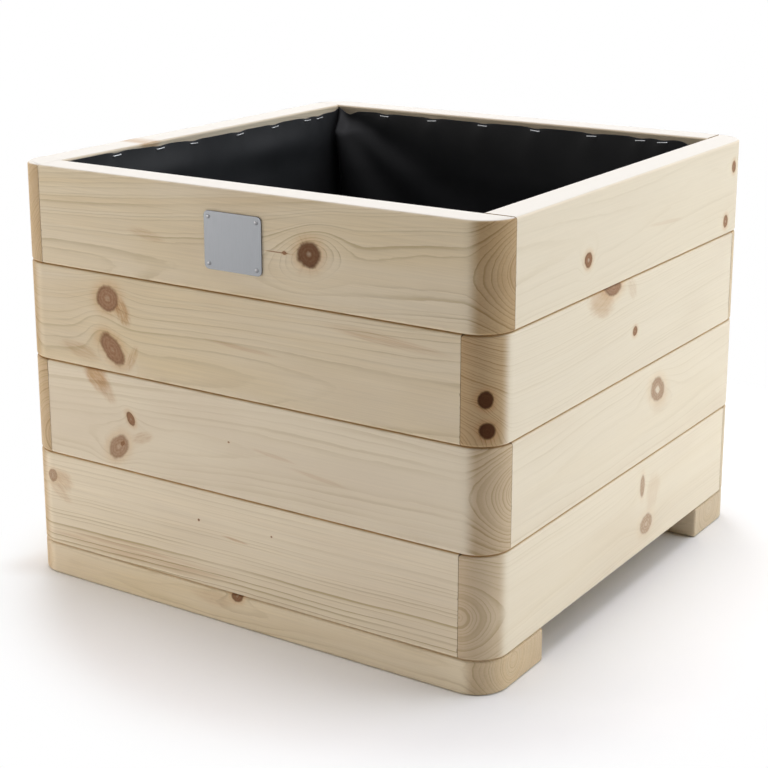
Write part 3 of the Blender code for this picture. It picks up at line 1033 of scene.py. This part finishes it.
def place_on_points(tree, start, end, shape):
    """Put the shape on every point, turned by the point's own turn, as real mesh."""
    turn = node(tree, "GeometryNodeInputNamedAttribute", {"Name": "turn"}, data_type="FLOAT_VECTOR")
    instances = node(tree, "GeometryNodeInstanceOnPoints", {
        "Points": start["Geometry"], "Instance": shape, "Rotation": turn.outputs["Attribute"],
    }).outputs["Instances"]
    real = node(tree, "GeometryNodeRealizeInstances", {"Geometry": instances}).outputs["Geometry"]
    smooth = node(tree, "GeometryNodeSetShadeSmooth", {"Geometry": real}).outputs["Geometry"]
    finished = node(tree, "GeometryNodeSetMaterial", {"Geometry": smooth, "Material": start["Material"]})
    feed(tree, end["Geometry"], finished.outputs["Geometry"])


# Wire staples
staple_below_edge = 3.4 * mm
staple_proud = 0.6 * mm
staple_tilt = math.radians(5.0)
staple_steps = 25
staple_squareness = 0.16
staple_sizes = {"Crown": 10.6 * mm, "Leg": 6.0 * mm, "Wire width": 1.2 * mm, "Wire thickness": 0.6 * mm}


def staple_tree():
    """A flat wire staple: a crown along X with its legs driven in along +Y, bent on a squared arc."""
    tree, start, end = new_shape_tree("wire_staple", ("Crown", "Leg", "Wire width", "Wire thickness"))
    line = node(tree, "GeometryNodeCurvePrimitiveLine").outputs["Curve"]
    line = node(tree, "GeometryNodeResampleCurve", {"Curve": line, "Count": staple_steps}).outputs["Curve"]
    share = node(tree, "GeometryNodeSplineParameter").outputs["Factor"]
    angle = times(tree, share, math.pi)
    across = maths(tree, "COSINE", angle)
    across_sign = maths(tree, "SIGN", across)
    across = maths(tree, "POWER", maths(tree, "ABSOLUTE", across), staple_squareness)
    across = times(tree, across, across_sign)
    across = times(tree, across, times(tree, start["Crown"], 0.5))
    rise = maths(tree, "MAXIMUM", maths(tree, "SINE", angle), 0.0)
    rise = maths(tree, "POWER", rise, staple_squareness)
    depth = times(tree, maths(tree, "SUBTRACT", 1.0, rise), start["Leg"])
    place = node(tree, "ShaderNodeCombineXYZ", {"X": across, "Y": depth}).outputs[0]
    path = node(tree, "GeometryNodeSetPosition", {"Geometry": line, "Position": place}).outputs["Geometry"]
    section = node(tree, "GeometryNodeCurvePrimitiveQuadrilateral", {
        "Width": start["Wire thickness"], "Height": start["Wire width"],
    }).outputs["Curve"]
    wire = node(tree, "GeometryNodeCurveToMesh", {
        "Curve": path, "Profile Curve": section, "Fill Caps": True,
    }).outputs["Mesh"]
    place_on_points(tree, start, end, wire)
    return tree


# Domed heads
head_sides = 24
collar_height = 0.3 * mm


def domed_head_tree():
    """The domed head of a nail or a screw on a short collar, facing -Y."""
    tree, start, end = new_shape_tree("domed_head", ("Head", "Dome"))
    radius = times(tree, start["Head"], 0.5)
    ball = node(tree, "GeometryNodeMeshUVSphere", {
        "Segments": head_sides, "Rings": head_sides // 2, "Radius": 1.0,
    }).outputs["Mesh"]
    size = node(tree, "ShaderNodeCombineXYZ", {"X": radius, "Y": radius, "Z": start["Dome"]}).outputs[0]
    head = node(tree, "GeometryNodeTransform", {"Geometry": ball, "Scale": size}).outputs["Geometry"]
    collar = node(tree, "GeometryNodeMeshCylinder", {
        "Vertices": head_sides, "Radius": radius, "Depth": collar_height,
    }).outputs["Mesh"]
    joined = node(tree, "GeometryNodeJoinGeometry")
    tree.links.new(head, joined.inputs[0])
    tree.links.new(collar, joined.inputs[0])
    turned = node(tree, "GeometryNodeTransform", {
        "Geometry": joined.outputs[0], "Rotation": (quarter_turn, 0.0, 0.0),
    }).outputs["Geometry"]
    place_on_points(tree, start, end, turned)
    return tree


def repeat_on_points(name, tree, points, sizes, material):
    """Run a shape tree on given points, each with its own turn, and keep the plain mesh."""
    mesh = bpy.data.meshes.new(name)
    mesh.from_pydata([place for place, turn in points], [], [])
    turns = mesh.attributes.new("turn", "FLOAT_VECTOR", "POINT")
    for item, (place, turn) in zip(turns.data, points):
        item.vector = turn
    piece = new_object(name, mesh)
    repeat = piece.modifiers.new("repeat", "NODES")
    repeat.node_group = tree
    values = dict(sizes, Material=material)
    for item in tree.interface.items_tree:
        if item.in_out == "INPUT" and item.name in values:
            repeat[item.identifier] = values[item.name]
    settle(piece)
    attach(piece, "root")
    return piece


def make_staples(material):
    """The staples that hold the film's edge."""
    points = []
    draw = random.Random(5)
    for side in range(len(side_names)):
        turn = Matrix.Rotation(side * quarter_turn, 3, "Z")
        for along in staple_rows[side_names[side]]:
            x = along * mm
            height = film_edge(side, x) - staple_below_edge + film_notch
            film = stand_off(side, x, staple_below_edge, liner_high.z - liner_low.z) + film_thickness
            place = turn @ Vector((x, film + staple_proud - inner_half, height))
            tilt = draw.uniform(-staple_tilt, staple_tilt)
            points.append((place, (0.0, tilt, math.pi + side * quarter_turn)))
    return repeat_on_points("film_staples", staple_tree(), points, staple_sizes, material)


def make_nails(half, middle, material):
    """Four domed nails in the plate's corners."""
    points = []
    for sign_x in (-1, 1):
        for sign_z in (-1, 1):
            x = sign_x * (half.x - nail_inset)
            z = middle + sign_z * (half.y - nail_inset)
            points.append(((x, plate_low.y, z), (0.0, 0.0, 0.0)))
    return repeat_on_points("plate_nails", domed_head_tree(), points, nail_sizes, material)


# Screws in the floor slats
screw_from_end = 20.0 * mm
screw_spacing = 40.0 * mm
screw_sink = 0.15 * mm
screw_sizes = {"Head": 7.0 * mm, "Dome": 0.35 * mm}


def make_slat_screws(material):
    """Two screws at each end of each floor slat, sunk almost flush under the film."""
    points = []
    for number in range(1, slat_count + 1):
        low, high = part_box(f"floor_slat_{number}")
        middle = (low[0] + high[0]) / 2
        for y in (low[1] + screw_from_end, high[1] - screw_from_end):
            for x in (middle - screw_spacing / 2, middle + screw_spacing / 2):
                points.append(((x, y, high[2] - screw_sink), (-quarter_turn, 0.0, 0.0)))
    return repeat_on_points("slat_screws", domed_head_tree(), points, screw_sizes, material)


# Studio, in metres and watts. The floor turns white between two distances from the line through the
# shadow's middle, but not within reach of the walls
floor_half = 9.0
floor_colour = (0.90, 0.90, 0.89)
shadow_front = (0.06, -0.04, 0.0)
shadow_back = (0.06, 0.25, 0.0)
floor_white_from = 0.33
floor_white_to = 0.43
contact_shadow = 0.05
white = (1.0, 1.0, 1.0)
world_light = 0.05
world_colour = (1.0, 0.94, 0.86)
lamp_target = (0.0, 0.0, 0.2)
Lamp = namedtuple("Lamp", "name place size power colour")
lamps = (
    Lamp("top_light", (0.0, 0.25, 4.6), 3.0, 160.0, (0.97, 0.94, 0.98)),
    Lamp("back_right_light", (2.4, 2.8, 3.9), 2.4, 58.0, (0.89, 0.92, 1.00)),
    Lamp("back_left_light", (-2.8, 2.8, 3.9), 2.4, 64.0, (0.93, 0.97, 1.00)),
    Lamp("right_light", (2.1, 0.85, 0.75), 1.2, 20.6, (0.88, 0.95, 1.00)),
    Lamp("left_light", (-2.2, 0.3, 1.0), 1.2, 8.0, (1.00, 1.00, 1.00)),
    Lamp("front_light", (-1.5, -1.2, 0.36), 1.0, 14.6, (1.00, 0.95, 0.88)),
)


def white_to_eye(tree):
    """1 for the rays that show a background, seen straight, mirrored or through something clear."""
    path = node(tree, "ShaderNodeLightPath").outputs
    seen = maths(tree, "MAXIMUM", path["Is Camera Ray"], path["Is Glossy Ray"])
    return maths(tree, "MAXIMUM", seen, path["Is Transmission Ray"])


def make_floor():
    """A pale floor that keeps the shadow near the box and turns into the white background further out."""
    solid = bmesh.new()
    bmesh.ops.create_grid(solid, x_segments=1, y_segments=1, size=floor_half)
    mesh = bpy.data.meshes.new("studio_floor")
    solid.to_mesh(mesh)
    solid.free()
    floor = new_object("studio_floor", mesh)
    material, tree, shader = new_material("studio_floor", floor_colour, 0.9)
    shader.inputs["Specular IOR Level"].default_value = 0.0
    place = on_piece(tree)
    nearest = vector_maths(tree, "MINIMUM", place, shadow_back)
    nearest = vector_maths(tree, "MAXIMUM", nearest, shadow_front)
    from_shadow = vector_maths(tree, "LENGTH", vector_maths(tree, "SUBTRACT", place, nearest))
    far = ramp(tree, from_shadow, floor_white_from, floor_white_to)
    past_walls = vector_maths(tree, "SUBTRACT", vector_maths(tree, "ABSOLUTE", place), cad_box[1])
    past_walls = vector_maths(tree, "MAXIMUM", past_walls, (0.0, 0.0, 0.0))
    clear = ramp(tree, vector_maths(tree, "LENGTH", past_walls), 0.0, contact_shadow)
    factor = times(tree, maths(tree, "MINIMUM", far, clear), white_to_eye(tree))
    glow = node(tree, "ShaderNodeEmission", {"Color": (*white, 1.0), "Strength": 1.0})
    mix = node(tree, "ShaderNodeMixShader", {"Fac": factor})
    tree.links.new(shader.outputs["BSDF"], mix.inputs[1])
    tree.links.new(glow.outputs["Emission"], mix.inputs[2])
    tree.links.new(mix.outputs["Shader"], tree.nodes["Material Output"].inputs["Surface"])
    mesh.materials.append(material)


def make_world():
    """A little light from all round, on a white background."""
    world = bpy.data.worlds.new("studio")
    world.use_nodes = True
    tree = world.node_tree
    back = tree.nodes["Background"]
    seen = white_to_eye(tree)
    feed(tree, back.inputs["Color"], blend(tree, seen, world_colour, white))
    feed(tree, back.inputs["Strength"], ramp(tree, seen, 0.0, 1.0, world_light, 1.0))
    bpy.context.scene.world = world


def add_light(lamp):
    """A round softbox that faces the box."""
    softbox = bpy.data.lights.new(lamp.name, "AREA")
    softbox.shape = "DISK"
    softbox.size = lamp.size
    softbox.energy = lamp.power
    softbox.color = lamp.colour
    light = new_object(lamp.name, softbox)
    light.location = lamp.place
    aim = Vector(lamp_target) - Vector(lamp.place)
    light.rotation_euler = aim.to_track_quat("-Z", "Y").to_euler()


def make_camera():
    """The photo's viewpoint."""
    lens = bpy.data.cameras.new("photo_camera")
    lens.sensor_width = camera_sensor
    lens.lens = camera_lens
    lens.shift_y = camera_shift_down
    camera = new_object("photo_camera", lens)
    turn = Matrix.Rotation(camera_yaw, 4, "Z") @ Matrix.Rotation(camera_pitch, 4, "X")
    camera.matrix_world = Matrix.Translation(camera_place) @ turn
    bpy.context.scene.camera = camera


def main():
    """Dress every solid, then set up the studio."""
    for course in range(1, course_count + 1):
        for side in range(len(side_names)):
            make_board(side, course)
    make_runner("front_runner", 0)
    make_runner("back_runner", 2)
    for number in range(1, slat_count + 1):
        make_slat(number)
    beech = dowel_material()
    for name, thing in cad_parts.items():
        if name.startswith("dowel"):
            thing.data.materials.clear()
            thing.data.materials.append(beech)
    aluminium = metal_material("matt_aluminium", aluminium_colour, 0.48, (900.0, 900.0, 60.0))
    steel = metal_material("bright_steel", bright_steel_colour, 0.34, (400.0, 400.0, 400.0))
    nail_steel = metal_material("dull_steel", dull_steel_colour, 0.36, (400.0, 400.0, 400.0))
    liner = make_liner(film_material())
    staples = make_staples(steel)
    half, middle = make_plate(aluminium)
    make_nails(half, middle, nail_steel)
    make_slat_screws(nail_steel)
    make_floor()
    make_world()
    for lamp in lamps:
        add_light(lamp)
    make_camera()
    bpy.context.scene.view_settings.view_transform = "Standard"


main()
